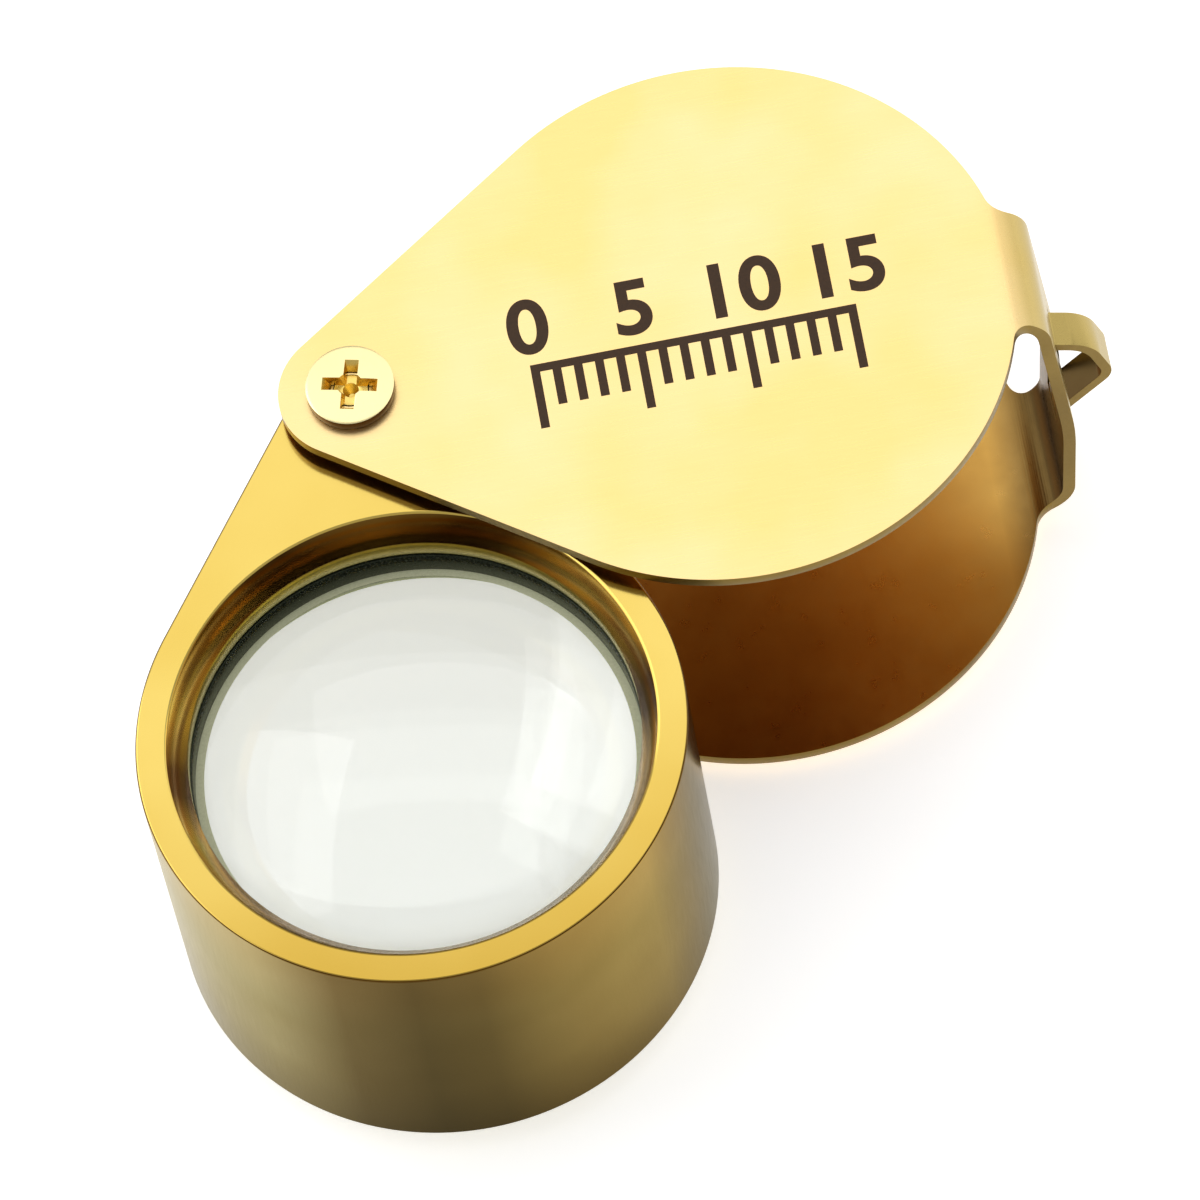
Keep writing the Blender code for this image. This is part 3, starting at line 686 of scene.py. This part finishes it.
def bezel():
    """The gold ring that closes the barrel at the back."""
    outer = RIM_INNER_R - SEAT_GAP
    profile = [(outer, bezel_high.z), (outer, bezel_low.z), (outer - BEZEL_EDGE, bezel_low.z),
               (LIP_R, bezel_low.z + LIP_DEPTH), (LIP_R, bezel_high.z)]
    piece = turned("rear_bezel", profile, BARREL)
    soften(piece, BEZEL_RING_EDGE, 2)
    give(piece, RIM_GOLD_PAINTED_SHADE, "housing", "rear_bezel_ring")


def black_rings():
    """Cell sleeve with its shoulder, the lock ring behind the lenses, and the two spacers."""
    shoulder = front_lens_high.z - sag(FRONT_CURVE) + CELL_SHOULDER_RISE
    outer = RIM_INNER_R - SEAT_GAP
    profile = [(outer, cell_high.z), (outer, cell_low.z), (SEAT_R, cell_low.z),
               (SEAT_R, shoulder), (CELL_BORE_R, shoulder), (CELL_BORE_R, cell_high.z)]
    piece = turned("cell_sleeve", profile, BARREL)
    soften(piece, RING_EDGE, 2)
    give(piece, BLACK, "housing", "lens_cell")
    outer = SEAT_R - SEAT_GAP
    profile = [(outer, lock_high.z), (outer, lock_low.z), (CELL_BORE_R, lock_low.z),
               (CELL_BORE_R, lock_high.z)]
    piece = turned("lock_ring", profile, BARREL)
    soften(piece, RING_EDGE, 2)
    give(piece, BLACK, "housing", "lens_lock_ring")
    for name in ("front_spacer_ring", "rear_spacer_ring"):
        paint_node(name, BLACK)


def lens(name, node_name, front_curve, rear_curve, low, high):
    """One lens. A face with no curve is flat, and a band at the edge is ground."""
    top = high.z - (sag(front_curve) if front_curve else 0.0)
    foot = low.z + (sag(rear_curve) if rear_curve else 0.0)
    profile = dome(front_curve, top, True) + dome(rear_curve, foot, False)[::-1]
    piece = turned(name, profile, BARREL, 192, closed=False)
    piece.data.shade_smooth()
    piece.data.set_sharp_from_angle(angle=SHARP_ANGLE)
    give(piece, GLASS, "housing", node_name)
    # the ground band takes the ground glass with its painted glow
    ground = add_material(piece, GROUND)
    for face in piece.data.polygons:
        if (face.center - BARREL).xy.length > LENS_R - GROUND_BAND:
            face.material_index = ground


def lenses():
    lens("front_glass", "front_lens", FRONT_CURVE, None, front_lens_low, front_lens_high)
    lens("middle_glass", "middle_lens", MIDDLE_CURVE, MIDDLE_CURVE, middle_lens_low,
         middle_lens_high)
    lens("rear_glass", "rear_lens", None, REAR_CURVE, rear_lens_low, rear_lens_high)


# --- the pivot --------------------------------------------------------------------------------

def screw():
    """The screw with its low crown and its cross recess, which is drilled in the middle."""
    under = FRONT + SEAT_GAP
    top = screw_high.z
    side = under + SCREW_HEAD_SIDE
    crown = top - side
    shank = SCREW_HOLE_R - SEAT_GAP
    profile = [(SCREW_HEAD_R * i / 12, side + crown * (1 - (i / 12) ** 2)) for i in range(13)]
    profile += [(SCREW_HEAD_R, under), (shank, under), (shank, screw_low.z), (0.0, screw_low.z)]
    piece = turned("screw", profile, PIVOT, 96, closed=False)
    for turn in (CROSS_ANGLE, CROSS_ANGLE + math.pi / 2):
        form = bmesh.new()
        bmesh.ops.create_cube(form, size=1.0)
        for corner in form.verts:
            size = CROSS_TAPER if corner.co.z < 0 else 2 - CROSS_TAPER
            corner.co.x *= CROSS_LENGTH * size
            corner.co.y *= CROSS_WIDTH * size
            corner.co.z *= 2 * CROSS_DEPTH
        form.transform(Matrix.Translation((0.0, 0.0, top)) @ Matrix.Rotation(turn, 4, "Z"))
        mesh = bpy.data.meshes.new("bar")
        form.to_mesh(mesh)
        form.free()
        cut(piece, new_piece("bar", mesh))
    dimple = [(0.0, top + 0.2 * MM), (DIMPLE_R, top + 0.2 * MM), (DIMPLE_R, top),
              (DIMPLE_R / 4, top - DIMPLE_DEPTH), (0.0, top - DIMPLE_DEPTH)]
    cut(piece, turned("dimple", dimple, PIVOT, 48, closed=False))
    soften(piece, SCREW_EDGE, 2)
    give(piece, SCREW_GOLD, "case", "pivot_screw")
    recess = add_material(piece, RECESS_GOLD_PAINTED_SHADE)
    head_side = add_material(piece, EDGE_PAINTED_SHADE)
    # the head's side and the cross recess take golds with painted shade
    for face in piece.data.polygons:
        if face.center.xy.length > SCREW_HEAD_R - 0.1 * MM and abs(face.normal.z) < 0.85:
            face.material_index = head_side
        elif face.center.xy.length < CROSS_LENGTH / 2 and face.center.z < side + crown / 2:
            face.material_index = recess


def nut_and_washers():
    """Carried over from the frame as they are."""
    paint_node("pivot_nut", SCREW_GOLD)
    paint_node("friction_washer", RIM_GOLD_PAINTED_SHADE)
    paint_node("spring_washer", RIM_GOLD_PAINTED_SHADE)


# --- the marking ------------------------------------------------------------------------------

def bar(form, x, y, width, height):
    """One flat etched stroke on the front plate, with its lower left corner at x, y."""
    middle = (x + width / 2, y + height / 2, FRONT)
    size = Matrix.Diagonal((width, height, 2 * MARK_RISE, 1.0))
    bmesh.ops.create_cube(form, size=1.0, matrix=Matrix.Translation(middle) @ size)


def numeral(form, text, x, y, height):
    """A plain numeral centred on x, standing on y."""
    curve = bpy.data.curves.new("numeral", "FONT")
    curve.body = text
    curve.size = height / CAP_HEIGHT
    curve.align_x = "CENTER"
    curve.offset = NUMERAL_WEIGHT * height
    curve.extrude = MARK_RISE
    drawn = bpy.data.objects.new("numeral", curve)
    bpy.context.scene.collection.objects.link(drawn)
    bpy.context.view_layer.update()
    graph = bpy.context.evaluated_depsgraph_get()
    mesh = bpy.data.meshes.new_from_object(drawn.evaluated_get(graph))
    mesh.transform(Matrix.Translation((x, y, FRONT)))
    form.from_mesh(mesh)
    bpy.data.objects.remove(drawn)


def scale_marks():
    """A generic millimetre scale etched on the front plate."""
    form = bmesh.new()
    left = SCALE_START - SCALE_STROKE / 2
    bar(form, left, SCALE_LINE_Y, SCALE_LENGTH * MM + SCALE_STROKE, SCALE_STROKE)
    for i in range(SCALE_LENGTH + 1):
        drop = SCALE_LONG_MARK if i % 5 == 0 else SCALE_SHORT_MARK
        bar(form, left + i * MM, SCALE_LINE_Y - drop, SCALE_STROKE, drop)
    for value in range(0, SCALE_LENGTH + 1, 5):
        numeral(form, str(value), SCALE_START + value * MM, SCALE_LINE_Y + NUMERAL_RISE,
                NUMERAL_HEIGHT)
    mesh = bpy.data.meshes.new("millimetre_scale")
    form.to_mesh(mesh)
    form.free()
    piece = new_piece("millimetre_scale", mesh)
    mesh.materials.append(MARK)
    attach(piece, "case")


# --- the stage --------------------------------------------------------------------------------

def floor():
    """The white ground, with a soft even glow that is a little stronger under the barrel, a
    painted pool of light under the lens.
    """
    mesh = bpy.data.meshes.new("floor")
    form = bmesh.new()
    bmesh.ops.create_grid(form, x_segments=1, y_segments=1, size=FLOOR_REACH)
    bmesh.ops.translate(form, verts=form.verts, vec=(0.0, 0.0, FLOOR_Z - 0.01 * MM))
    form.to_mesh(mesh)
    form.free()
    piece = new_piece("floor", mesh)
    made, tree, shader = shader_of("pale floor")
    shader.inputs["Base Color"].default_value = (0.9, 0.9, 0.9, 1.0)
    shader.inputs["Roughness"].default_value = 0.8
    shader.inputs["Emission Color"].default_value = (1.0, 1.0, 1.0, 1.0)
    place = tree.nodes.new("ShaderNodeTexCoord")
    away = tree.nodes.new("ShaderNodeVectorMath")
    away.operation = "DISTANCE"
    away.inputs[1].default_value = (BARREL.x, BARREL.y, FLOOR_Z)
    tree.links.new(place.outputs["Object"], away.inputs[0])
    glow = tree.nodes.new("ShaderNodeMapRange")
    glow.interpolation_type = "SMOOTHSTEP"
    glow.inputs["From Min"].default_value = 0.95 * LIP_R
    glow.inputs["From Max"].default_value = 1.05 * LIP_R
    glow.inputs["To Min"].default_value = FLOOR_PAINTED_LIGHT_UNDER_LENS
    glow.inputs["To Max"].default_value = FLOOR_GLOW
    tree.links.new(away.outputs["Value"], glow.inputs["Value"])
    tree.links.new(glow.outputs["Result"], shader.inputs["Emission Strength"])
    mesh.materials.append(made)


def area_light(name, place, target, width, height, power):
    light = bpy.data.lights.new(name, "AREA")
    light.shape = "RECTANGLE"
    light.size = width
    light.size_y = height
    light.energy = power
    lamp = bpy.data.objects.new(name, light)
    lamp.location = place
    lamp.rotation_euler = (Vector(target) - Vector(place)).to_track_quat("-Z", "Y").to_euler()
    bpy.context.scene.collection.objects.link(lamp)


def lights():
    """Three white panels around the lens, in a pale even surround. Powers are in watts."""
    middle = (0.01, -0.005, 0.01)
    area_light("softbox", (0.05, 0.24, 0.45), middle, 0.60, 0.40, 0.66)
    area_light("left panel", (-0.36, 0.12, 0.28), middle, 0.45, 0.50, 0.95)
    area_light("right panel", (0.42, 0.26, 0.16), middle, 0.35, 0.40, 0.28)
    world = bpy.data.worlds.new("studio")
    world.use_nodes = True
    world.node_tree.nodes["Background"].inputs["Color"].default_value = (1.0, 1.0, 1.0, 1.0)
    world.node_tree.nodes["Background"].inputs["Strength"].default_value = 0.55
    bpy.context.scene.world = world


def camera():
    data = bpy.data.cameras.new("camera")
    data.sensor_width = 36.0
    data.lens = FOCAL_PER_WIDTH * data.sensor_width
    data.clip_start = 0.01
    thing = bpy.data.objects.new("camera", data)
    turn = Vector(TURN)
    seen = Matrix.Rotation(turn.length, 3, turn.normalized())
    axes = seen.transposed() @ Matrix.Diagonal((1.0, -1.0, -1.0))
    thing.matrix_world = Matrix.Translation(EYE) @ axes.to_4x4()
    bpy.context.scene.collection.objects.link(thing)
    bpy.context.scene.camera = thing


camera()
lights()
floor()
case()
housing()
bezel()
black_rings()
lenses()
screw()
nut_and_washers()
scale_marks()
bpy.context.scene.view_settings.view_transform = "Standard"
